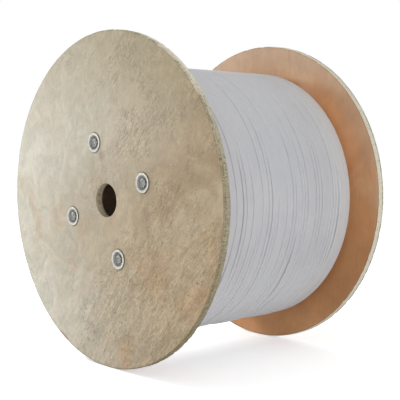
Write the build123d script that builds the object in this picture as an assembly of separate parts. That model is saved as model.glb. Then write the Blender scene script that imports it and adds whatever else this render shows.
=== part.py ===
"""Plywood cable reel, 800 mm across its flanges, wound with grey cable.

The reel lies on the rims of its two flanges, as it rolls. Its axis runs along Y, with the front
flange towards -Y, and the origin is on the floor, below the middle of the reel. Millimetres.

Each piece is modelled about the reel's axis, taken as Z, with z = 0 half way between the flanges,
the front at +Z and the reel's upper side towards +Y. place() then lays it down on the floor.
"""

import os
from math import cos, radians, sin

from build123d import *

# Flanges: round plywood boards.
flange_diameter = 800.0
flange_thickness = 18.0
bore_diameter = 80.0

# Barrel: a bent plywood tube between the flanges, let into a groove in each.
traverse = 514.0  # clear width between the flanges
barrel_diameter = 400.0
barrel_wall = 12.0
groove_depth = 6.0
groove_clearance = 0.4  # each side of the barrel's wall

# Cable: one wound roll. Its outer turns hang a little slack, the last ones beside each flange have
# slipped down by one layer, and in three places two turns have parted and left a groove.
winding_depth = 129.5  # of cable on the barrel, half way up its sides
winding_sag = 4.5  # how far the outer turns hang below the reel's axis
winding_clearance = 0.3  # to the barrel and to each flange
cable_diameter = 10.2
front_slope_width = 10.0
rear_slope_width = 15.0
parting_heights = (139.0, -48.0, -198.0)  # from the middle of the reel towards the front

# Tie rods: four studding rods inside the barrel that clamp the flanges to it.
rod_count = 4
rod_circle_diameter = 288.0
rod_first_angle = 18.5  # degrees from +X towards the upper side, seen from the front
rod_diameter = 10.0
rod_hole_clearance = 0.5  # radial, in the washers

# Cup washers: drawn steel. The rim bears on the board and the cup hangs in a hole drilled through
# it, so that the nut and the rod's end stay below the rim.
washer_diameter = 47.0
washer_plate = 2.0
cup_diameter = 33.0  # inside
cup_depth = 9.0  # from the rim's face down to the floor that the nut sits on
cup_hole_clearance = 0.5  # radial, in the flanges

# Hexagon nuts.
nut_across_flats = 17.0
nut_height = 8.0
nut_bore_clearance = 0.15  # radial
rod_proud = 1.0  # past the face of the nut

# Heights along the reel's axis, from its middle.
inner_face = traverse / 2
outer_face = inner_face + flange_thickness
washer_face = outer_face + washer_plate
cup_floor = washer_face - cup_depth
rod_end = cup_floor + nut_height + rod_proud
barrel_end = inner_face + groove_depth

# Radii.
barrel_radius = barrel_diameter / 2
rod_hole_radius = rod_diameter / 2 + rod_hole_clearance
cup_radius = cup_diameter / 2 + washer_plate  # outside


def turned(points):
    """A solid turned about the axis from an outline of (radius, height) points."""
    outline = Polyline(*[(r, 0, z) for r, z in points], close=True)
    return revolve(make_face(outline), Axis.Z)


def ring(inner, outer, bottom, top):
    return turned([(inner, bottom), (outer, bottom), (outer, top), (inner, top)])


def on_rods(make):
    """A copy, at each tie rod, of what make() gives about the Z axis."""
    radius = rod_circle_diameter / 2
    angles = [radians(rod_first_angle + 360 * index / rod_count) for index in range(rod_count)]
    return [Pos(radius * cos(angle), radius * sin(angle)) * make() for angle in angles]


def flange():
    """The front flange: a round board with its bore, the barrel's groove and the cups' holes."""
    board = ring(bore_diameter / 2, flange_diameter / 2, inner_face, outer_face)
    groove_inner = barrel_radius - barrel_wall - groove_clearance
    groove_outer = barrel_radius + groove_clearance
    board -= ring(groove_inner, groove_outer, inner_face, barrel_end)
    for hole in on_rods(cup_hole):
        board -= hole
    return board


def cup_hole():
    return Cylinder(cup_radius + cup_hole_clearance, 2 * outer_face)


def barrel():
    return ring(barrel_radius - barrel_wall, barrel_radius, -barrel_end, barrel_end)


def winding():
    """The roll of cable: turned outside, lower than its bore by the sag, with a slope at each end."""
    half = inner_face - winding_clearance
    crest = barrel_radius + winding_depth
    foot = crest - cable_diameter
    cable_radius = cable_diameter / 2
    partings = []
    for height in sorted(parting_heights, reverse=True):
        partings += [
            (crest, height + cable_radius), (crest - cable_radius, height),
            (crest, height - cable_radius),
        ]
    roll = turned([
        (0, half), (foot, half), (crest, half - front_slope_width), *partings,
        (crest, rear_slope_width - half), (foot, -half), (0, -half),
    ])
    bore = Cylinder(barrel_radius + winding_clearance, 2 * half)
    return Pos(0, -winding_sag) * roll - bore


def tie_rod():
    return Cylinder(rod_diameter / 2, 2 * rod_end)


def cup_washer():
    """A drawn washer for the front flange: flat rim, straight cup, flat floor, even plate."""
    inside = cup_diameter / 2
    underside = cup_floor - washer_plate
    return turned([
        (rod_hole_radius, underside), (cup_radius, underside), (cup_radius, outer_face),
        (washer_diameter / 2, outer_face), (washer_diameter / 2, washer_face), (inside, washer_face),
        (inside, cup_floor), (rod_hole_radius, cup_floor),
    ])


def hex_nut():
    """A nut for the front flange, sitting on the floor of its washer's cup."""
    hexagon = RegularPolygon(nut_across_flats / 2, 6, major_radius=False)
    hexagon -= Circle(rod_diameter / 2 + nut_bore_clearance)
    return Pos(0, 0, cup_floor) * extrude(hexagon, nut_height)


def at_rear(shape):
    """The same piece turned end for end for the rear flange, on the same tie rods."""
    return mirror(shape, about=Plane.XY)


def place(shape):
    """Lays a piece down: the reel's axis along Y, the front towards -Y, the rims on z = 0."""
    return Pos(0, 0, flange_diameter / 2) * Rot(90, 0, 0) * shape


def pieces():
    """Every piece of the reel by its name. The four like fasteners on a flange share a node."""
    named = {
        "front_flange": flange(),
        "barrel": barrel(),
        "cable_winding": winding(),
        "front_cup_washers": Compound(on_rods(cup_washer)),
        "front_hex_nuts": Compound(on_rods(hex_nut)),
    }
    for kind in ("flange", "cup_washers", "hex_nuts"):
        named[f"rear_{kind}"] = at_rear(named[f"front_{kind}"])
    for number, rod in enumerate(on_rods(tie_rod), start=1):
        named[f"tie_rod_{number}"] = rod
    return named


os.makedirs("parts", exist_ok=True)
for name, piece in pieces().items():
    export_step(place(piece), f"parts/{name}.step")
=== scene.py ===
"""The looks of a plywood cable reel: weathered boards, zinc plated fasteners and turns of cable.

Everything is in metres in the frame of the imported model: the reel's axis runs along Y, the front
flange faces -Y and the floor is z = 0. An angle about the axis counts from +X towards +Z.
"""

from math import cos, pi, radians, sin, tan

import bmesh
import bpy
import numpy as np
from mathutils import Matrix, Vector


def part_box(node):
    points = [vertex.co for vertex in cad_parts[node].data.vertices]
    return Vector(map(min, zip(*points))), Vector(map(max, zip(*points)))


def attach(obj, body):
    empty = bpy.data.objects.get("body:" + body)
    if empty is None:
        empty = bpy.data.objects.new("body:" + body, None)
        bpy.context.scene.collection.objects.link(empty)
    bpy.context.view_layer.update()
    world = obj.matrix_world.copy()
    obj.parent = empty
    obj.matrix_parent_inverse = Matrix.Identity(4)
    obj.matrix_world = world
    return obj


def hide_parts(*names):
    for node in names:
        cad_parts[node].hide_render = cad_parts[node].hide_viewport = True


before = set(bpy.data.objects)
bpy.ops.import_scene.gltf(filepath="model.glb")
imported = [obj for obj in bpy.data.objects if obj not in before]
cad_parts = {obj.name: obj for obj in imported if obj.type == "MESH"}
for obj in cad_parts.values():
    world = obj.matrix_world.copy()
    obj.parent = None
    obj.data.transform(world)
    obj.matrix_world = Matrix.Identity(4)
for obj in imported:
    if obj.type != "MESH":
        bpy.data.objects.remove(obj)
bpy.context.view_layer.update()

MM = 0.001


# Sizes taken from the frame

def middle(node):
    low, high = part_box(node)
    return (low + high) / 2


def radius_of(node):
    low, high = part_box(node)
    return (high.x - low.x) / 2


AXIS = middle("front_flange")
AXIS.y = 0
FLANGE_RADIUS = radius_of("front_flange")
INNER_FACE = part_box("rear_flange")[0].y
OUTER_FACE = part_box("rear_flange")[1].y
THICKNESS = OUTER_FACE - INNER_FACE
WASHER_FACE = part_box("rear_cup_washers")[1].y
CUP_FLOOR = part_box("rear_hex_nuts")[0].y
NUT_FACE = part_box("rear_hex_nuts")[1].y
ROD_NODES = [f"tie_rod_{number}" for number in (1, 2, 3, 4)]
ROD_RADIUS = radius_of("tie_rod_1")
ROD_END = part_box("tie_rod_1")[1].y
BARREL_RADIUS = radius_of("barrel")
BARREL_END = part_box("barrel")[1].y
WINDING_LOW, WINDING_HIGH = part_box("cable_winding")
WINDING_RADIUS = radius_of("cable_winding")
WINDING_SAG = AXIS.z - middle("cable_winding").z


def rod_places():
    """Where the rods run: the point of each rod's middle line that is halfway along the reel."""
    return [Vector((middle(node).x, 0, middle(node).z)) for node in ROD_NODES]


# Sizes that the frame doesn't give

BORE_RADIUS = 40 * MM
BARREL_WALL = 12 * MM
GROOVE_CLEARANCE = 0.4 * MM
BOARD_EDGE_ROUND = 1.6 * MM
BORE_EDGE_ROUND = 0.8 * MM
CUP_HOLE_RADIUS = 19 * MM
RIM_RADIUS = 23.5 * MM  # of a washer
ROD_HOLE_RADIUS = 5.5 * MM

CABLE_RADIUS = 5.1 * MM
WINDING_CLEARANCE = 0.3 * MM  # to the barrel
FRONT_SLOPE = 10 * MM  # how much of each end the last turns leave free
REAR_SLOPE = 17 * MM
LAYER_DROP = 8.9 * MM  # a turn lies in the hollow between two turns of the layer beneath


# Meshes

def new_object(name, vertices, faces):
    mesh = bpy.data.meshes.new(name)
    mesh.from_pydata([tuple(v) for v in vertices], [], [tuple(f) for f in faces])
    mesh.update()
    thing = bpy.data.objects.new(name, mesh)
    bpy.context.scene.collection.objects.link(thing)
    return thing


def grid_faces(rows, columns, closed=True):
    """Quads between neighbours in a grid of vertices whose rows are rings.

    closed also joins the last row to the first.
    """
    i = np.arange(rows if closed else rows - 1)[:, None]
    j = np.arange(columns)[None, :]
    i_next, j_next = (i + 1) % rows, (j + 1) % columns
    corners = (i * columns + j, i * columns + j_next, i_next * columns + j_next, i_next * columns + j)
    return np.stack([c + 0 * i * j for c in corners], axis=-1).reshape(-1, 4)


def smooth(thing, sharp_angle=35):
    thing.data.shade_smooth()
    thing.data.set_sharp_from_angle(angle=radians(sharp_angle))
    return thing


def turned(name, outline, segments, centre=AXIS, side=1, slots=None, wear=None):
    """A solid turned about a line along Y from a closed outline of (radius, y) points.

    side is -1 to put it at the front. slots gives the material index of the span that starts at each
    point, and wear(angle, radius, y) how far each vertex is worn towards the axis.
    """
    angles = np.linspace(0, 2 * pi, segments, endpoint=False)
    radius, y = np.array(outline).T
    radii = np.tile(radius, (segments, 1))
    if wear:
        radii = radii - wear(angles[:, None], radii, y[None, :])
    vertices = np.stack([
        centre.x + radii * np.cos(angles)[:, None],
        centre.y + np.tile(side * y, (segments, 1)),
        centre.z + radii * np.sin(angles)[:, None],
    ], axis=-1).reshape(-1, 3)
    thing = new_object(name, vertices, grid_faces(segments, len(outline)))
    if slots:
        thing.data.polygons.foreach_set("material_index", np.tile(slots, segments))
    return outward(thing)


def outward(thing):
    """Merges points that meet and turns every face to look out of its solid."""
    work = bmesh.new()
    work.from_mesh(thing.data)
    bmesh.ops.remove_doubles(work, verts=work.verts, dist=0.001 * MM)
    bmesh.ops.recalc_face_normals(work, faces=work.faces)
    work.to_mesh(thing.data)
    work.free()
    return thing


def corner(radius, y, radius_side, y_side, size, steps=4):
    """A rounded corner of an outline, from its wall to its face.

    The solid lies towards radius_side and y_side of the sharp corner at (radius, y).
    """
    angles = [pi / 2 * step / steps for step in range(steps + 1)]
    return [(radius + radius_side * size * (1 - cos(angle)), y + y_side * size * (1 - sin(angle)))
            for angle in angles]


def cut_out(thing, cutter):
    """Takes the cutter's solid out of a piece, and removes the cutter."""
    cut = thing.modifiers.new("cut", "BOOLEAN")
    cut.operation = "DIFFERENCE"
    cut.solver = "EXACT"
    cut.object = cutter
    graph = bpy.context.evaluated_depsgraph_get()
    mesh = bpy.data.meshes.new_from_object(thing.evaluated_get(graph))
    thing.modifiers.clear()
    thing.data = mesh
    bpy.data.objects.remove(cutter)


def joined(name, things):
    """One object of several, with their meshes in place and their materials kept."""
    bpy.ops.object.select_all(action="DESELECT")
    for thing in things:
        thing.select_set(True)
    bpy.context.view_layer.objects.active = things[0]
    bpy.ops.object.join()
    things[0].name = name
    return things[0]


# Materials

def srgb(red, green, blue):
    """A linear colour from 0 to 255 values as seen on a screen."""
    def linear(value):
        value /= 255
        return value / 12.92 if value <= 0.04045 else ((value + 0.055) / 1.055) ** 2.4
    return (linear(red), linear(green), linear(blue), 1.0)


class Finish:
    """One material, with short calls for the nodes that it is made of."""

    def __init__(self, name, roughness, metallic=0.0, specular=0.5):
        self.material = bpy.data.materials.new(name)
        self.material.use_nodes = True
        self.nodes = self.material.node_tree.nodes
        self.links = self.material.node_tree.links
        self.shader = self.nodes["Principled BSDF"]
        self.shader.inputs["Roughness"].default_value = roughness
        self.shader.inputs["Metallic"].default_value = metallic
        self.shader.inputs["Specular IOR Level"].default_value = specular
        self.place = self.nodes.new("ShaderNodeTexCoord").outputs["Object"]

    def put(self, socket, value):
        if isinstance(value, bpy.types.NodeSocket):
            self.links.new(value, socket)
        else:
            socket.default_value = value

    def stretched(self, scale, offset, slant):
        """The place on the object, scaled along X, Y and Z. slant leans Z over towards X, in radians."""
        node = self.nodes.new("ShaderNodeMapping")
        node.vector_type = "TEXTURE"
        self.links.new(self.place, node.inputs["Vector"])
        node.inputs["Scale"].default_value = [1 / along for along in scale]
        node.inputs["Location"].default_value = offset
        node.inputs["Rotation"].default_value = (0, slant, 0)
        return node.outputs["Vector"]

    def noise(self, scale, detail, roughness, stretch=(1, 1, 1), distortion=0.0, offset=(0, 0, 0),
              slant=0.0, kind="FBM"):
        node = self.nodes.new("ShaderNodeTexNoise")
        node.noise_type = kind
        node.inputs["Scale"].default_value = scale
        node.inputs["Detail"].default_value = detail
        node.inputs["Roughness"].default_value = roughness
        node.inputs["Distortion"].default_value = distortion
        self.links.new(self.stretched(stretch, offset, slant), node.inputs["Vector"])
        return node.outputs["Fac"]

    def maths(self, operation, first, second=0.0, third=0.0):
        node = self.nodes.new("ShaderNodeMath")
        node.operation = operation
        for socket, value in zip(node.inputs, (first, second, third)):
            self.put(socket, value)
        return node.outputs["Value"]

    def total(self, first, *others):
        for other in others:
            first = self.maths("ADD", first, other)
        return first

    def product(self, first, *others):
        for other in others:
            first = self.maths("MULTIPLY", first, other)
        return first

    def ranged(self, value, low, high, to_low=0.0, to_high=1.0):
        """A value's range mapped smoothly onto another, and level beyond its ends."""
        node = self.nodes.new("ShaderNodeMapRange")
        node.interpolation_type = "SMOOTHSTEP"
        ends = {"From Min": low, "From Max": high, "To Min": to_low, "To Max": to_high}
        for name, number in ends.items():
            node.inputs[name].default_value = number
        self.put(node.inputs["Value"], value)
        return node.outputs["Result"]

    def ramp(self, value, stops):
        """A colour for each of a value's levels, from (level, colour) stops."""
        node = self.nodes.new("ShaderNodeValToRGB")
        elements = node.color_ramp.elements
        while len(elements) < len(stops):
            elements.new(0.5)
        for element, (level, colour) in zip(elements, stops):
            element.position = level
            element.color = colour
        self.put(node.inputs["Fac"], value)
        return node.outputs["Color"]

    def mix(self, amount, first, second, blend="MIX"):
        node = self.nodes.new("ShaderNodeMix")
        node.data_type = "RGBA"
        node.blend_type = blend
        self.put(node.inputs["Factor"], amount)
        self.put(node.inputs[6], first)  # the colour sockets A and B
        self.put(node.inputs[7], second)
        return node.outputs[2]

    def shaded(self, colour, value, low, high):
        """The colour times low where a noise value is low, and times high where it is high."""
        return self.mix(1.0, colour, self.ranged(value, 0.3, 0.7, low, high), "MULTIPLY")

    def parts(self):
        """The X, Y and Z of the place on the object."""
        node = self.nodes.new("ShaderNodeSeparateXYZ")
        self.links.new(self.place, node.inputs["Vector"])
        return node.outputs["X"], node.outputs["Y"], node.outputs["Z"]

    def by_board(self, front, rear):
        """One value on the front board, and another on the rear one."""
        return self.ranged(self.parts()[1], 0.0, 10 * MM, front, rear)

    def distance(self, centre):
        """The distance from the line along Y through a point."""
        x, _, z = self.parts()
        across = self.maths("SUBTRACT", x, centre.x)
        height = self.maths("SUBTRACT", z, centre.z)
        squares = self.maths("MULTIPLY_ADD", across, across, self.product(height, height))
        return self.maths("SQRT", squares)

    def from_axis(self):
        """The distance from the reel's axis."""
        return self.distance(AXIS)

    def from_rods(self):
        """The distance from the middle line of the nearest tie rod."""
        nearest = 1.0
        for place in rod_places():
            nearest = self.maths("MINIMUM", self.distance(place), nearest)
        return nearest

    def colour(self, value):
        self.put(self.shader.inputs["Base Color"], value)

    def rough(self, value):
        self.put(self.shader.inputs["Roughness"], value)

    def bump(self, height, distance, strength):
        node = self.nodes.new("ShaderNodeBump")
        node.inputs["Strength"].default_value = strength
        node.inputs["Distance"].default_value = distance
        self.links.new(height, node.inputs["Height"])
        self.links.new(node.outputs["Normal"], self.shader.inputs["Normal"])


# The finishes' places and tones are matched to the photo. x, z and distances are in metres, and
# a noise's scale times its stretch is about how many bumps it has to the metre along each axis.

RUST_RADIUS, RUST_ANGLE = 396 * MM, radians(243)
RUST_PLACE = AXIS + RUST_RADIUS * Vector((cos(RUST_ANGLE), 0, sin(RUST_ANGLE)))
# Where a washer's painted shadow lies on the front board.
WASHER_SHADOW_PLACE = rod_places()[1] + Vector((30 * MM, 0, -30 * MM))


def weathered_and_lit_veneer():
    """The boards' outer faces: veneer grey and partly painted light towards -X, tan elsewhere, and scuffed.
    """
    look = Finish("weathered_and_lit_veneer", roughness=0.75, specular=0.25)
    clouds = look.noise(5, 5, 0.62, distortion=1.5)
    fibres = look.noise(1, 4, 0.65, stretch=(150, 150, 60), distortion=1.4, slant=0.2)
    worn = veneer_wear(look)
    base, relief = veneer_scuffs(look, veneer_tones(look, clouds), fibres, worn)
    look.colour(veneer_marks(look, base, clouds, fibres))
    look.bump(look.product(relief, look.ranged(worn, 0.0, 0.6, 0.35, 1.0)), 0.5 * MM, 0.6)
    return look.material


def veneer_wear(look):
    """How worn the outer veneer is, from 0 to 1: in patches, and most towards +X and low down there."""
    x, _, z = look.parts()
    patches = look.noise(9, 3, 0.6, offset=(1, 0, 9))
    low_down = look.product(look.ranged(z, 0.05, 0.5, 0.14, 0.0), look.ranged(x, -0.2, 0.05))
    across = look.ranged(x, -0.3, 0.2, -0.13, 0.1)
    return look.ranged(look.total(patches, low_down, across), 0.44, 0.68)


def veneer_tones(look, clouds):
    """The outer veneer's broad colours."""
    x, _, z = look.parts()
    mottles = look.noise(20, 2, 0.5, distortion=1.2, offset=(2, 0, 6))
    brown = look.ramp(clouds, [
        (0.34, srgb(157, 138, 110)), (0.50, srgb(168, 150, 123)), (0.64, srgb(180, 165, 139)),
    ])
    grey = look.ramp(mottles, [
        (0.36, srgb(196, 193, 178)), (0.50, srgb(201, 197, 183)), (0.64, srgb(206, 200, 186)),
    ])
    # The grey is partly painted light, as if light falls on the face from -X.
    # The grey reaches from -X, and further across above and below than in the middle.
    reach = look.total(look.ranged(z, 0.35, 0.6, 0.0, 0.19), look.ranged(z, 0.05, 0.3, 0.08, 0.0))
    across = look.total(look.maths("SUBTRACT", x, reach), look.product(clouds, 0.45))
    base = look.mix(look.ranged(across, -0.22, 0.46, 0.95, 0.0), brown, grey)
    patches = look.noise(6, 4, 0.6, distortion=1.0, offset=(3, 0, 5))
    warm = look.product(look.ranged(patches, 0.46, 0.64), look.ranged(z, 0.1, 0.6, 0.55, 0.1))
    base = look.mix(warm, base, srgb(180, 150, 116))
    base = look.mix(look.ranged(z, 0.5, 0.8, 0.0, 0.6), base, srgb(160, 147, 116))
    return look.shaded(base, mottles, 0.96, 1.04)


def veneer_scuffs(look, base, fibres, worn):
    """Grain and veins all over the outer veneer, and scuffs and specks where it is worn.

    Gives the colour, and the height of the relief.
    """
    x, _, z = look.parts()
    base = look.shaded(base, fibres, 0.93, 1.06)
    grain = look.noise(1, 3, 0.6, stretch=(700, 700, 45), distortion=0.8, slant=0.1)
    base = look.shaded(base, grain, 0.95, 1.04)
    veins = look.noise(26, 4, 0.62, distortion=1.0, offset=(6, 0, 2), kind="RIDGED_MULTIFRACTAL")
    base = look.shaded(base, veins, 1.02, 0.955)
    scuffs = look.noise(1, 4, 0.6, stretch=(150, 150, 34), distortion=1.0, slant=0.75)
    base = look.mix(worn, base, look.shaded(base, scuffs, 0.83, 1.13))
    swipes = look.noise(1, 3, 0.55, stretch=(70, 70, 9), distortion=0.6, slant=0.62, offset=(7, 0, 3))
    swiped = look.product(look.ranged(z, 0.1, 0.4, 1.0, 0.15), look.ranged(x, -0.25, 0.0, 0.2, 1.0))
    base = look.mix(swiped, base, look.shaded(base, swipes, 0.90, 1.10))
    flecks = look.noise(1, 3, 0.6, stretch=(260, 260, 75), distortion=0.8, slant=0.6, offset=(5, 0, 1))
    flecked = look.product(look.ranged(flecks, 0.57, 0.68, 0.0, 0.55), look.total(worn, 0.12))
    base = look.mix(flecked, base, srgb(116, 98, 72))
    specks = look.noise(300, 3, 0.8)
    faint, strong = look.shaded(base, specks, 0.95, 1.04), look.shaded(base, specks, 0.82, 1.15)
    base = look.mix(look.ranged(worn, 0.1, 0.7), faint, strong)
    return base, look.total(fibres, grain, specks, scuffs)


def veneer_marks(look, base, clouds, fibres):
    """Dirt along the rim, dirt and painted shade round the washers, a rusty patch and a painted shadow."""
    edge = look.ranged(look.from_axis(), FLANGE_RADIUS - 5 * MM, FLANGE_RADIUS - MM)
    dirt = look.product(edge, look.ranged(clouds, 0.3, 0.6, 0.2, 0.65))
    base = look.mix(dirt, base, srgb(126, 112, 86))
    rust = look.ranged(look.distance(RUST_PLACE), 8 * MM, 30 * MM, 0.7, 0.0)
    at_rim = look.ranged(look.from_axis(), FLANGE_RADIUS - 12 * MM, FLANGE_RADIUS - 3 * MM)
    base = look.mix(look.product(rust, at_rim), base, srgb(158, 104, 66))
    # A dark ring round each washer's rim: dirt and painted shade at its foot.
    grime_and_shade = look.ranged(look.from_rods(), RIM_RADIUS - MM, RIM_RADIUS + 4 * MM, 0.8, 0.0)
    base = look.mix(grime_and_shade, base, srgb(84, 74, 60))
    # A painted shadow, below and towards +X of the front board's upper washer, as if cast by it.
    ragged = look.total(look.distance(WASHER_SHADOW_PLACE), look.product(look.ranged(fibres, 0.3, 0.7), 6 * MM))
    washer_shadow = look.product(look.ranged(ragged, 6 * MM, 22 * MM, 0.45, 0.0), look.by_board(1.0, 0.0))
    return look.mix(washer_shadow, base, srgb(128, 112, 88))


def red_veneer():
    """The boards' inner faces: an orange brown veneer, clouded, with its grain upright."""
    look = Finish("red_veneer", roughness=0.65, specular=0.25)
    z = look.parts()[2]
    out = look.from_axis()
    clouds = look.noise(1, 4, 0.6, stretch=(9, 9, 4), distortion=1.2)
    base = look.ramp(clouds, [
        (0.32, srgb(174, 124, 82)), (0.50, srgb(187, 142, 104)), (0.68, srgb(198, 162, 130)),
    ])
    # Painted light: lighter and more orange low down, where less light reaches.
    base = look.mix(look.ranged(z, 0.05, 0.5, 0.75, 0.0), base, srgb(204, 151, 104))
    outwards = look.ranged(out, WINDING_RADIUS, FLANGE_RADIUS - 10 * MM, 0.0, 0.6)
    base = look.mix(look.product(outwards, look.ranged(z, 0.35, 0.62)), base, srgb(188, 157, 131))
    dark = look.product(look.ranged(z, 0.23, 0.38, 0.85, 0.0), look.ranged(z, 0.03, 0.16))
    base = look.mix(dark, base, srgb(166, 118, 78))
    # Painted light close to the winding, on its upper half but not over its top, lifting the shade there.
    painted_light_by_winding = look.product(
        look.ranged(out, WINDING_RADIUS, WINDING_RADIUS + 50 * MM, 0.5, 0.0),
        look.ranged(z, 0.35, 0.6, 0.1, 1.0), look.ranged(z, 0.66, 0.74, 1.0, 0.1),
    )
    base = look.mix(painted_light_by_winding, base, srgb(218, 156, 110))
    base = look.mix(look.ranged(z, 0.64, 0.76, 0.0, 0.5), base, srgb(173, 149, 124))
    blotches = look.noise(16, 3, 0.6, offset=(8, 0, 4))
    base = look.shaded(base, blotches, 0.93, 1.07)
    fibres = look.noise(1, 4, 0.6, stretch=(260, 260, 14))
    base = look.shaded(base, fibres, 0.97, 1.03)
    streaks = look.noise(1, 3, 0.5, stretch=(90, 90, 12), distortion=0.4)
    base = look.mix(look.ranged(streaks, 0.60, 0.72, 0.0, 0.18), base, srgb(146, 100, 62))
    edge = look.ranged(out, FLANGE_RADIUS - 5 * MM, FLANGE_RADIUS - 2 * MM, 0.0, 0.6)
    base = look.mix(edge, base, srgb(138, 100, 72))
    # Inside the barrel the veneer is pale, unfaded since no light has reached it, and paler as painted
    # light.
    unfaded_and_lit = look.ranged(out, BARREL_RADIUS - BARREL_WALL, BARREL_RADIUS, 0.8, 0.0)
    look.colour(look.mix(unfaded_and_lit, base, srgb(236, 216, 194)))
    look.bump(fibres, 0.2 * MM, 0.4)
    return look.material


PLIES = 13
SEAM_DEPTH = 13.5 * MM  # where the rim's plies have opened a little, from the inner face


def ply_edge():
    """The boards' rims and bores: their plies, with stains, dents and chips, most on the front board."""
    look = Finish("ply_edge", roughness=0.85, specular=0.15)
    y = look.parts()[1]
    depth = look.maths("SUBTRACT", look.maths("ABSOLUTE", y), INNER_FACE)
    wobble = look.product(look.noise(40, 3, 0.6, stretch=(1, 4, 1)), 0.6)
    pairs = look.maths("DIVIDE", depth, 2 * THICKNESS / PLIES)
    layer = look.maths("FRACT", look.total(pairs, wobble))
    base = look.ramp(layer, [
        (0.04, srgb(168, 158, 130)), (0.10, srgb(218, 215, 200)), (0.50, srgb(212, 209, 193)),
        (0.56, srgb(172, 162, 134)), (0.96, srgb(196, 191, 172)),
    ])
    stains = look.noise(70, 4, 0.65, stretch=(1, 0.4, 1))
    stained = look.product(look.ranged(stains, 0.45, 0.68, 0.0, 0.6), look.by_board(1.0, 0.25))
    base = look.mix(stained, base, srgb(142, 136, 100))
    base = look.mix(look.by_board(0.0, 0.5), base, srgb(226, 219, 204))
    look.colour(rim_age_and_light(look, base, depth, stains))
    look.bump(look.total(layer, look.noise(500, 3, 0.7, stretch=(1, 0.3, 1))), 0.4 * MM, 0.5)
    return look.material


def rim_age_and_light(look, base, depth, stains):
    """The plies' colour with age, wear and painted light and shade, by depth from a board's inner face."""
    z = look.parts()[2]
    out = look.from_axis()
    rim = look.ranged(out, 0.2, 0.3)  # 1 on the rim and 0 in the bore
    in_bore = look.ranged(out, 0.05, 0.1, 0.75, 0.0)
    front_rim = look.product(look.by_board(1.0, 0.0), rim)
    # Painted shade on the front rim low down and in the bore, and painted light on the front rim's top.
    tints = (
        (look.product(front_rim, look.ranged(z, 0.45, 0.8, 0.75, 0.0)), srgb(148, 136, 110)),
        (look.product(front_rim, look.ranged(z, 0.05, 0.6, 0.7, 0.0)), srgb(120, 112, 84)),
        (in_bore, srgb(162, 149, 120)),
        (look.product(front_rim, look.ranged(z, 0.58, 0.72, 0.0, 0.65)), srgb(240, 231, 210)),
    )
    for amount, tint in tints:
        base = look.mix(amount, base, tint)
    # A dark line where the front rim meets the outer face, strongest on top.
    line = look.product(
        look.ranged(depth, THICKNESS - 2.4 * MM, THICKNESS - 1.2 * MM),
        look.ranged(stains, 0.35, 0.6, 0.1, 0.7), look.ranged(z, 0.5, 0.7, 0.6, 1.0), front_rim,
    )
    base = look.mix(line, base, srgb(104, 88, 62))
    off_seam = look.maths("ABSOLUTE", look.maths("SUBTRACT", depth, SEAM_DEPTH))
    seam = look.product(
        look.ranged(off_seam, 0.8 * MM, 2.2 * MM, 0.8, 0.0), look.ranged(stains, 0.4, 0.55, 0.3, 1.0), rim,
    )
    base = look.mix(seam, base, srgb(112, 100, 72))
    dents = look.noise(230, 3, 0.7, stretch=(1, 0.5, 1))
    dented = look.product(look.ranged(dents, 0.54, 0.66, 0.0, 0.7), look.by_board(1.0, 0.55))
    base = look.mix(dented, base, srgb(96, 84, 60))
    chips = look.noise(300, 3, 0.7, stretch=(1, 0.4, 1), offset=(4, 0, 2))
    chipped = look.product(
        look.ranged(chips, 0.54, 0.66, 0.0, 0.7), look.ranged(z, 0.4, 0.75, 0.5, 1.0), rim,
    )
    return look.mix(chipped, base, srgb(226, 221, 198))


def cable_sheath():
    """Light grey PVC, matt, with a little dust and scuffing."""
    look = Finish("cable_sheath", roughness=0.55, specular=0.35)
    _, y, z = look.parts()
    dust = look.noise(14, 4, 0.6)
    base = look.ramp(dust, [(0.3, srgb(181, 182, 186)), (0.7, srgb(189, 189, 192))])
    # Painted light: paler on top, below and towards the rear board, and a painted highlight on the last
    # turn.
    base = look.mix(look.ranged(z, 0.5, 0.72, 0.0, 0.5), base, srgb(203, 204, 206))
    base = look.mix(look.ranged(z, 0.06, 0.3, 0.9, 0.0), base, srgb(216, 217, 221))
    base = look.mix(look.ranged(y, 0.14, 0.22, 0.0, 0.6), base, srgb(206, 207, 208))
    last_turn = WINDING_HIGH.y - REAR_SLOPE
    base = look.mix(look.ranged(y, last_turn - 5 * MM, last_turn, 0.0, 0.8), base, srgb(240, 235, 222))
    scuffs = look.noise(1, 4, 0.6, stretch=(40, 400, 40))
    look.colour(look.shaded(base, scuffs, 0.97, 1.03))
    look.rough(look.ranged(dust, 0.3, 0.7, 0.48, 0.62))
    look.bump(scuffs, 0.1 * MM, 0.3)
    return look.material


def zinc(name, dark, light, roughness, metallic):
    """Zinc plated steel, clouded from dark to light, and duller where it is lighter."""
    look = Finish(name, roughness=roughness, metallic=metallic)
    cloud = look.noise(180, 4, 0.6)
    look.colour(look.ramp(cloud, [(0.35, dark), (0.65, light)]))
    look.rough(look.ranged(cloud, 0.3, 0.7, roughness - 0.08, roughness + 0.1))
    look.bump(look.noise(900, 3, 0.6), 0.1 * MM, 0.25)
    return look.material


def barrel_wood():
    """The barrel: bent plywood, pale since little light has faded it, and paler still as painted light."""
    look = Finish("barrel_wood", roughness=0.85, specular=0.15)
    grain = look.noise(1, 5, 0.6, stretch=(60, 6, 60), distortion=0.4)
    look.colour(look.ramp(grain, [(0.3, srgb(218, 192, 172)), (0.7, srgb(238, 218, 200))]))
    look.bump(grain, 0.3 * MM, 0.5)
    return look.material


WEATHERED_AND_LIT, RED, EDGE = weathered_and_lit_veneer(), red_veneer(), ply_edge()
SHEATH = cable_sheath()
RIM_ZINC = zinc("rim_zinc", srgb(176, 173, 164), srgb(222, 219, 209), roughness=0.5, metallic=0.4)
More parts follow.
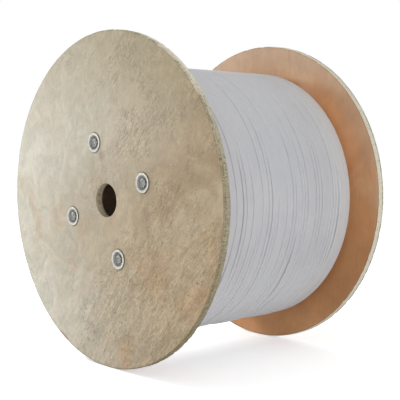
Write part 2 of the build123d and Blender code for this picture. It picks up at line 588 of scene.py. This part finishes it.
# Painted shade: dark brown zinc on the washers' outer sides and in the nuts' bores.
SHADE_ZINC = zinc("shade_zinc", srgb(56, 48, 38), srgb(80, 71, 58), roughness=0.8, metallic=0.0)
# Painted shade: zinc darker than the rims', in the washers' cups.
CUP_ZINC = zinc("cup_zinc", srgb(148, 150, 147), srgb(170, 172, 169), roughness=0.6, metallic=0.3)
NUT_ZINC = zinc("nut_zinc", srgb(120, 122, 119), srgb(142, 144, 141), roughness=0.5, metallic=0.3)
# Painted highlight: lighter zinc on the nuts' bevels and on the rods' flanks and bevels.
HIGHLIGHT_ZINC = zinc("highlight_zinc", srgb(168, 169, 165), srgb(196, 197, 193), roughness=0.5, metallic=0.4)
BARREL_WOOD = barrel_wood()


def painted(thing, materials):
    for material in materials:
        thing.data.materials.append(material)
    return thing


def carried(thing):
    """The same piece, riding on the reel."""
    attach(thing, "root")
    return thing


# Boards

BOARD_FINISH = [WEATHERED_AND_LIT, RED, EDGE]
FACE, INSIDE, RIM = 0, 1, 2  # their indices


def board_outline():
    """A board's section as (radius, y) points, with the material of the span after each."""
    groove_outer = BARREL_RADIUS + GROOVE_CLEARANCE
    groove_inner = BARREL_RADIUS - BARREL_WALL - GROOVE_CLEARANCE
    # Points, the material between them, and the material up to the next stretch.
    stretches = [
        (corner(BORE_RADIUS, INNER_FACE, 1, 1, BORE_EDGE_ROUND), RIM, INSIDE),
        ([(groove_inner, INNER_FACE), (groove_inner, BARREL_END), (groove_outer, BARREL_END),
          (groove_outer, INNER_FACE)], INSIDE, INSIDE),
        (corner(FLANGE_RADIUS, INNER_FACE, -1, 1, BOARD_EDGE_ROUND)[::-1], RIM, RIM),
        ([(FLANGE_RADIUS, INNER_FACE + THICKNESS * share) for share in (0.3, 0.5, 0.7)], RIM, RIM),
        (corner(FLANGE_RADIUS, OUTER_FACE, -1, -1, BOARD_EDGE_ROUND), RIM, FACE),
        (corner(BORE_RADIUS, OUTER_FACE, 1, -1, BORE_EDGE_ROUND)[::-1], RIM, RIM),
    ]
    points, slots = [], []
    for stretch, slot, last_slot in stretches:
        points += stretch
        slots += [slot] * (len(stretch) - 1) + [last_slot]
    return points, slots


def worn_rim(side):
    """How far a board's rim is worn: slight ripples, and dents that are deepest at its corners.

    The waves' counts round the rim share no factor, so nothing repeats.
    """
    def wear(angle, radius, y):
        turn = angle + 2.0 * side
        ripple = 0.15 * MM * (1 + 0.6 * np.sin(57 * turn) + 0.4 * np.sin(91 * turn + 1.0))
        wave = np.sin(23 * turn + 1.3) * np.sin(41 * turn + 0.4) * np.sin(67 * turn + 2.1)
        dents = 2.4 * MM * (wave - 0.3).clip(0, 1)
        to_corner = THICKNESS / 2 - np.abs(y - (OUTER_FACE + INNER_FACE) / 2)
        at_corner = np.exp(-(to_corner / (3 * MM)) ** 2)
        return np.where(radius > FLANGE_RADIUS - 3 * MM, ripple + dents * at_corner, 0)

    return wear


def cup_hole_cutter(place, side):
    """What is drilled out of a board for a washer's cup."""
    past = 5 * MM
    outline = [
        (0, INNER_FACE - past), (CUP_HOLE_RADIUS, INNER_FACE - past),
        (CUP_HOLE_RADIUS, OUTER_FACE + past), (0, OUTER_FACE + past),
    ]
    slots = [RIM] * len(outline)
    hole = turned("cup_hole", outline, segments=64, centre=place, side=side, slots=slots)
    return painted(hole, BOARD_FINISH)


def board(name, side):
    points, slots = board_outline()
    thing = turned(name, points, segments=384, side=side, slots=slots, wear=worn_rim(side))
    painted(thing, BOARD_FINISH)
    cut_out(thing, joined("cup_holes", [cup_hole_cutter(place, side) for place in rod_places()]))
    return smooth(thing)


def make_boards():
    for name, side in (("front", -1), ("rear", 1)):
        thing = carried(board(f"{name}_board", side))
        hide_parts(f"{name}_flange")


# Cable

TURNS = 45  # of the outer layer, wound from the front towards the rear
STEPS = 120  # along each turn
RING = 16  # points round the cable
START = radians(200)  # where the outer layer begins and ends, out of the camera's sight
PRESSED = 0.8 * MM  # how far a tight turn is squeezed past its round side
LOOSE_GAP = 0.6 * MM  # between two turns that have clearly parted
FIRST_TURN = WINDING_LOW.y + FRONT_SLOPE + CABLE_RADIUS
LAST_TURN = WINDING_HIGH.y - REAR_SLOPE - CABLE_RADIUS
PITCH = (LAST_TURN - FIRST_TURN) / TURNS
RISE_STEPS = 10  # in which the outer layer's cable comes up from the layer beneath
TUCK_STEPS = 16  # in which its end goes down on the rear slope
SEED = 7
WINDING_CENTRE = AXIS - Vector((0, 0, WINDING_SAG))

# Where two turns have parted: y in millimetres, the middle of the gap and its half length in
# degrees about the axis, and how far it opens in millimetres. The photo shows those of the first two
# rows, and the others lie mostly out of its sight.
GAPS = (
    (-188, -4, 20, 5.0), (-171, -36, 14, 3.0), (-151, -4, 22, 1.7), (-51, 4, 20, 0.6), (25, 2, 34, 0.6),
    (47, -34, 16, 4.2), (131, 0, 30, 0.8), (188, -14, 24, 5.0),
    (-190, 75, 40, 1.6), (-80, -80, 40, 2.0), (10, 150, 50, 2.2), (120, 205, 45, 2.4), (-150, 250, 40, 2.0),
    (170, 120, 40, 1.8), (-50, 215, 35, 1.6),
)


def wander(draw, count, length):
    """A smooth random line about 0, with bends about length steps long."""
    width = 3 * length
    kernel = np.exp(-(np.arange(-width, width + 1) / length) ** 2)
    rough = draw.standard_normal(count + 2 * width)
    line = np.convolve(rough, kernel / np.sqrt((kernel ** 2).sum()), mode="same")
    return line[width:width + count]


def in_bunches(line):
    """The same line, with each turn partly following the turns beside it."""
    return (line + 0.8 * np.roll(line, STEPS) + 0.8 * np.roll(line, -STEPS)) / 1.5


def ease(share):
    """0 to 1 with a smooth start and end."""
    share = np.clip(share, 0, 1)
    return share * share * (3 - 2 * share)


def gap_openings(step):
    """How far each step of the cable stands off the turn before it because of the GAPS."""
    turn = np.arange(TURNS + 1)
    openings = np.zeros(len(step))
    for y, angle, half_length, opening in GAPS:
        passes = (radians(angle) - START) / (2 * pi) % 1 + turn  # of the cable at that angle, in turns
        off_gap = np.abs(FIRST_TURN + PITCH * (passes - 0.5) - y * MM)
        middle_step = passes[np.argmin(off_gap)] * STEPS
        openings += opening * MM * np.exp(-2 * ((step - middle_step) * 360 / STEPS / half_length) ** 2)
    return openings


def cable_line(draw, parted):
    """The angle, y and radius of the cable's centre, step by step, along the outer layer."""
    count = TURNS * STEPS + 1
    step = np.arange(count)
    angle = START + 2 * pi * step / STEPS
    spacing = 2 * CABLE_RADIUS + LOOSE_GAP * parted[:count]

    y = FIRST_TURN + PITCH * step / STEPS
    even_end = y[-STEPS:].copy()
    for start in range(STEPS, count, STEPS):
        here = slice(start, min(start + STEPS, count))
        y[here] = y[start - STEPS:here.stop - STEPS] + spacing[here]
    # What is over or short at the last turn is shared out among the turns at that angle.
    over = np.roll(y[-STEPS:] - even_end, count % STEPS)
    y -= over[step % STEPS] * (step // STEPS) / (TURNS - 1)

    waves = 0.8 * np.sin(y / (21 * MM) + 1.8 * np.sin(angle))
    bunches = in_bunches(wander(draw, count, STEPS // 5))
    uneven = waves + bunches + wander(draw, count, STEPS // 8)
    # The turns lie tight on top and hang loose below, so there they have sunk less evenly.
    slack = (0.6 - 1.2 * np.sin(angle)).clip(0.2, None)
    sunk = (0.5 * MM * (2.8 + slack * uneven)).clip(0, None)
    rising = 1 - ease(step / RISE_STEPS)
    tucking = ease((step - (count - 1 - TUCK_STEPS)) / TUCK_STEPS)
    sunk += LAYER_DROP * rising + (LAYER_DROP - MM) * tucking
    y += 2 * CABLE_RADIUS * tucking
    return angle, y, WINDING_RADIUS - CABLE_RADIUS - sunk


def partings(draw):
    """How clearly each step of the cable has parted from the turn before it, from 0 up.

    Chance parts the turns most at the front and low down, and hardly at all over the top. The GAPS
    add to that.
    """
    step = np.arange((TURNS + 1) * STEPS + 1)
    up = np.sin(START + 2 * pi * step / STEPS)
    ease_off = 0.7 * step / (TURNS * STEPS) + 0.5 * up + 0.5 * up.clip(0, 1) + 3 * (up - 0.7).clip(0, 1)
    parted = (wander(draw, len(step), STEPS // 8) + 0.35 - ease_off).clip(0, 2)
    return parted + gap_openings(step) / LOOSE_GAP


def cable_section(before, after):
    """The cable's section, step by step: how far each point lies across and outwards of its centre.

    before and after say how clearly each step has parted from its neighbours. The section is a rounded
    square, rounder beside a gap, and wider and squarer where the turns lie tight.
    """
    around = 2 * pi * (np.arange(RING) + 0.5) / RING
    across, out = np.cos(around), np.sin(around)
    beside = np.where(across < 0, before[:, None], after[:, None])
    tight = (1 - 2 * beside).clip(0, 1)
    power = 2 / (4 + 2.5 * tight)  # 1 would be a circle and 0 a square
    width = CABLE_RADIUS + PRESSED * tight
    across = width * np.sign(across) * np.abs(across) ** power
    out = CABLE_RADIUS * np.sign(out) * np.abs(out) ** power
    return across, out


def outer_turns():
    """The outer layer of cable: one cable in a close helix, here and there pressed a little flat."""
    draw = np.random.default_rng(SEED)
    parted = partings(draw)
    angle, y, radius = cable_line(draw, parted)
    across, out = cable_section(parted[:len(angle)], parted[STEPS:])
    radii = radius[:, None] + out
    vertices = np.stack([
        WINDING_CENTRE.x + radii * np.cos(angle)[:, None],
        y[:, None] + across,
        WINDING_CENTRE.z + radii * np.sin(angle)[:, None],
    ], axis=-1).reshape(-1, 3)
    ends = [range(RING), range(len(vertices) - RING, len(vertices))]
    faces = [*grid_faces(len(angle), RING, closed=False), *ends]
    return smooth(outward(new_object("cable_outer_turns", vertices, faces)), sharp_angle=60)


def inner_layers():
    """The layers beneath: a ring whose outside and ends show the turns that they are made of."""
    low, high = WINDING_LOW.y, WINDING_HIGH.y
    valley = WINDING_RADIUS - CABLE_RADIUS - LAYER_DROP  # between two turns of the outermost layer
    bore = BARREL_RADIUS + WINDING_CLEARANCE
    groove = 2 * MM  # how deep it is between two layers, on the ends
    count = round((high - low) / (2 * CABLE_RADIUS))
    pitch = (high - low) / count
    layers = round((valley - bore) / LAYER_DROP)
    depth = (valley - bore) / layers
    bumps = [(share, sin(pi * share)) for share in (0.0, 0.15, 0.35, 0.65, 0.85)]  # of one turn's side
    points = []
    for turn in range(count):
        drop = depth if turn == count - 1 else 0  # the last turn has slipped down by a layer
        points += [(valley + CABLE_RADIUS * rise - drop, low + pitch * (turn + share))
                   for share, rise in bumps]
    ends = []
    for layer in range(layers):
        ends += [(valley - depth * (layer + share), groove * (1 - rise)) for share, rise in bumps]
    points += [(radius, high - inset) for radius, inset in ends[len(bumps):]]
    points += [(bore, high - groove), (bore, low + groove)]
    points += [(radius, low + inset) for radius, inset in ends[:0:-1]]
    ring = turned("cable_inner_layers", points, segments=STEPS, centre=WINDING_CENTRE)
    # The bore is round the barrel, above the outside's middle.
    for vertex in ring.data.vertices:
        across = Vector((vertex.co.x - WINDING_CENTRE.x, vertex.co.z - WINDING_CENTRE.z)).length
        inward = (valley - across) / (valley - bore)
        vertex.co.z += WINDING_SAG * min(max(inward, 0), 1)
    return smooth(ring, sharp_angle=50)


def make_cable():
    turns = carried(painted(outer_turns(), [SHEATH]))
    layers = carried(painted(inner_layers(), [SHEATH]))
    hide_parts("cable_winding")
    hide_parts("cable_winding")


# Fasteners

CUP_MOUTH = 16.5 * MM
CUP_TAPER = 1.5 * MM  # how much narrower the cup is at its foot
WASHER_PLATE = 2 * MM
NUT_ACROSS = 17 * MM
NUT_BORE = 5.15 * MM
SLOT_WIDTH, SLOT_DEPTH = 1.8 * MM, 2 * MM
SLOT_ANGLES = (50, 130, 35, 60)  # how each rod happened to be turned
NUT_ANGLES = (12, 40, 27, 52)  # and each nut


def cup_washer(name, place, side):
    """A drawn washer: a flat rim on the board, and a cup with a rounded mouth let into it."""
    underside = CUP_FLOOR - WASHER_PLATE
    cup_outside = CUP_MOUTH + WASHER_PLATE
    wall_foot = CUP_MOUTH - CUP_TAPER
    inside_bevel, back_bevel = 1.2 * MM, 3 * MM
    rim_outside = corner(RIM_RADIUS, WASHER_FACE, -1, -1, 0.5 * MM, steps=6)
    rim_inside = corner(CUP_MOUTH, WASHER_FACE, 1, -1, 1.8 * MM, steps=8)[::-1]
    back = [
        (ROD_HOLE_RADIUS, underside), (cup_outside - back_bevel, underside),
        (cup_outside, underside + back_bevel), (cup_outside, OUTER_FACE), (RIM_RADIUS, OUTER_FACE),
    ]
    cup = [
        (wall_foot, CUP_FLOOR + inside_bevel), (wall_foot - inside_bevel, CUP_FLOOR),
        (ROD_HOLE_RADIUS, CUP_FLOOR),
    ]
    points = back + rim_outside + rim_inside + cup
    on_rim, in_cup, shaded_edge = 0, 1, 2  # the finishes' indices
    edge_steps = 4  # of the outside's rounding, which get the edge's painted shade
    slots = [in_cup] * (len(back) - 1) + [shaded_edge] * (1 + edge_steps)
    slots += [on_rim] * (len(rim_outside) - edge_steps)
    slots += [in_cup] * (len(points) - len(slots))
    washer = turned(name, points, segments=96, centre=place, side=side, slots=slots)
    return smooth(painted(washer, [RIM_ZINC, CUP_ZINC, SHADE_ZINC]), sharp_angle=50)


def hex_nut(name, place, side, turn):
    """A hexagon nut: a cone has bevelled both its faces, and its bore is chamfered at the outer one."""
    segments = 96
    chamfer = 0.9 * MM
    bevel_radius = NUT_ACROSS / 2 * 0.9
    angles = 2 * pi * np.arange(segments) / segments
    hexagon = NUT_ACROSS / 2 / np.cos((angles + radians(30)) % radians(60) - radians(30))
    drop = (hexagon - bevel_radius) * tan(radians(30))
    # The nut's bore and its chamfer get painted shade, and the bevels a painted highlight.
    plain, on_bevel, in_bore = 0, 1, 2  # the finishes' indices
    rings = [
        (NUT_BORE, CUP_FLOOR, plain), (bevel_radius, CUP_FLOOR, plain), (hexagon, CUP_FLOOR + drop, plain),
        (hexagon, NUT_FACE - drop, on_bevel), (bevel_radius, NUT_FACE, plain),
        (NUT_BORE + chamfer, NUT_FACE, in_bore), (NUT_BORE, NUT_FACE - chamfer, in_bore),
    ]
    x, z = np.cos(angles + radians(turn)), np.sin(angles + radians(turn))
    vertices = np.stack([
        np.stack(np.broadcast_arrays(place.x + radius * x, side * y, place.z + radius * z), axis=-1)
        for radius, y, _ in rings], axis=1).reshape(-1, 3)
    nut = new_object(name, vertices, grid_faces(segments, len(rings)))
    nut.data.polygons.foreach_set("material_index", np.tile([slot for _, _, slot in rings], segments))
    return smooth(outward(painted(nut, [NUT_ZINC, HIGHLIGHT_ZINC, SHADE_ZINC])), sharp_angle=25)


def tie_rod(name, place, turn):
    """A studding rod with bevelled, slotted ends."""
    bevel = 1 * MM
    outline = [
        (0, -ROD_END), (ROD_RADIUS - bevel, -ROD_END), (ROD_RADIUS, -ROD_END + bevel),
        (ROD_RADIUS, ROD_END - bevel), (ROD_RADIUS - bevel, ROD_END), (0, ROD_END),
    ]
    # The flanks and bevels get a painted highlight.
    flank, end = 0, 1  # the finishes' indices
    slots = [end, flank, flank, flank, end, end]
    rod = painted(turned(name, outline, segments=48, centre=place, slots=slots), [HIGHLIGHT_ZINC, NUT_ZINC])
    for side in (-1, 1):
        bpy.ops.mesh.primitive_cube_add(size=1)
        cutter = bpy.context.object
        cutter.data.transform(Matrix.Diagonal((4 * ROD_RADIUS, 2 * SLOT_DEPTH, SLOT_WIDTH, 1)))
        cutter.data.transform(Matrix.Rotation(radians(side * turn), 4, "Y"))
        cutter.data.transform(Matrix.Translation((place.x, side * ROD_END, place.z)))
        cut_out(rod, cutter)
    return smooth(rod, sharp_angle=30)


def make_fasteners():
    rods = zip(ROD_NODES, rod_places(), SLOT_ANGLES)
    for number, (node, place, turn) in enumerate(rods, start=1):
        rod = carried(tie_rod(f"studding_{number}", place, turn))
        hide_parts(node)
    for name, side in (("front", -1), ("rear", 1)):
        washers = [cup_washer(f"{name}_washer", place, side) for place in rod_places()]
        washers = carried(joined(f"{name}_washers", washers))
        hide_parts(f"{name}_cup_washers")
        nuts = [hex_nut(f"{name}_nut", place, side, turn) for place, turn in zip(rod_places(), NUT_ANGLES)]
        nuts = carried(joined(f"{name}_nuts", nuts))
        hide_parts(f"{name}_hex_nuts")


def dress_barrel():
    """The barrel's solid has the right shape, so it only gets its finish."""
    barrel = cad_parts["barrel"]
    barrel.data.materials.clear()
    painted(barrel, [BARREL_WOOD])


# Stage, light and camera

CAMERA_AZIMUTH, CAMERA_ELEVATION = radians(47.1), radians(3.65)
CAMERA_DISTANCE = 2.2
CAMERA_AIM = Vector((0.0653, -0.0318, 0.3934))
CAMERA_LENS = 79.06
WHITE = (1, 1, 1, 1)
WORLD_LIGHT = 0.76  # on the reel; seen directly, the world is white
FLOOR_SIZE = 60
FLOOR_GLOW = 0.45  # the floor's own light, only where it is seen directly, to make it nearly white


def seen_directly(nodes, links):
    """1 where the camera, a reflection or a see-through surface looks at it, and otherwise 0."""
    path = nodes.new("ShaderNodeLightPath")
    seen = path.outputs["Is Camera Ray"]
    for ray in ("Is Glossy Ray", "Is Transmission Ray"):
        either = nodes.new("ShaderNodeMath")
        either.operation = "MAXIMUM"
        links.new(seen, either.inputs[0])
        links.new(path.outputs[ray], either.inputs[1])
        seen = either.outputs[0]
    return seen


def make_world():
    world = bpy.data.worlds.new("studio")
    bpy.context.scene.world = world
    world.use_nodes = True
    nodes, links = world.node_tree.nodes, world.node_tree.links
    background = nodes["Background"]
    background.inputs["Color"].default_value = WHITE
    level = nodes.new("ShaderNodeMapRange")
    level.inputs["To Min"].default_value = WORLD_LIGHT
    level.inputs["To Max"].default_value = 1.0
    links.new(seen_directly(nodes, links), level.inputs["Value"])
    links.new(level.outputs["Result"], background.inputs["Strength"])


def make_floor():
    bpy.ops.mesh.primitive_plane_add(size=FLOOR_SIZE)
    floor = bpy.context.object
    floor.name = "floor"
    material = bpy.data.materials.new("floor_white")
    material.use_nodes = True
    nodes, links = material.node_tree.nodes, material.node_tree.links
    shader = nodes["Principled BSDF"]
    shader.inputs["Base Color"].default_value = (0.9, 0.9, 0.9, 1)
    shader.inputs["Roughness"].default_value = 1.0
    shader.inputs["Specular IOR Level"].default_value = 0.0
    shader.inputs["Emission Color"].default_value = WHITE
    glow = nodes.new("ShaderNodeMath")
    glow.operation = "MULTIPLY"
    glow.inputs[1].default_value = FLOOR_GLOW
    links.new(seen_directly(nodes, links), glow.inputs[0])
    links.new(glow.outputs[0], shader.inputs["Emission Strength"])
    floor.data.materials.append(material)


def make_lamp(name, place, aim, size, power):
    light = bpy.data.lights.new(name, "AREA")
    light.size = size
    light.energy = power
    lamp = bpy.data.objects.new(name, light)
    lamp.location = place
    lamp.rotation_euler = (Vector(aim) - Vector(place)).to_track_quat("-Z", "Y").to_euler()
    bpy.context.scene.collection.objects.link(lamp)


def make_camera():
    back = Vector((
        sin(CAMERA_AZIMUTH) * cos(CAMERA_ELEVATION), -cos(CAMERA_AZIMUTH) * cos(CAMERA_ELEVATION),
        sin(CAMERA_ELEVATION),
    ))
    data = bpy.data.cameras.new("camera")
    data.sensor_width = 36
    data.lens = CAMERA_LENS
    camera = bpy.data.objects.new("camera", data)
    camera.location = CAMERA_AIM + back * CAMERA_DISTANCE
    camera.rotation_euler = back.to_track_quat("Z", "Y").to_euler()
    bpy.context.scene.collection.objects.link(camera)
    bpy.context.scene.camera = camera


make_boards()
make_cable()
make_fasteners()
dress_barrel()
make_world()
make_floor()
make_lamp("left", (-2.2, -0.6, 1.25), aim=(0, -0.28, 0.4), size=0.5, power=40)
make_lamp("right", (2.7, -1.3, 0.3), aim=AXIS, size=1.0, power=24)
make_camera()
bpy.context.scene.view_settings.view_transform = "Standard"
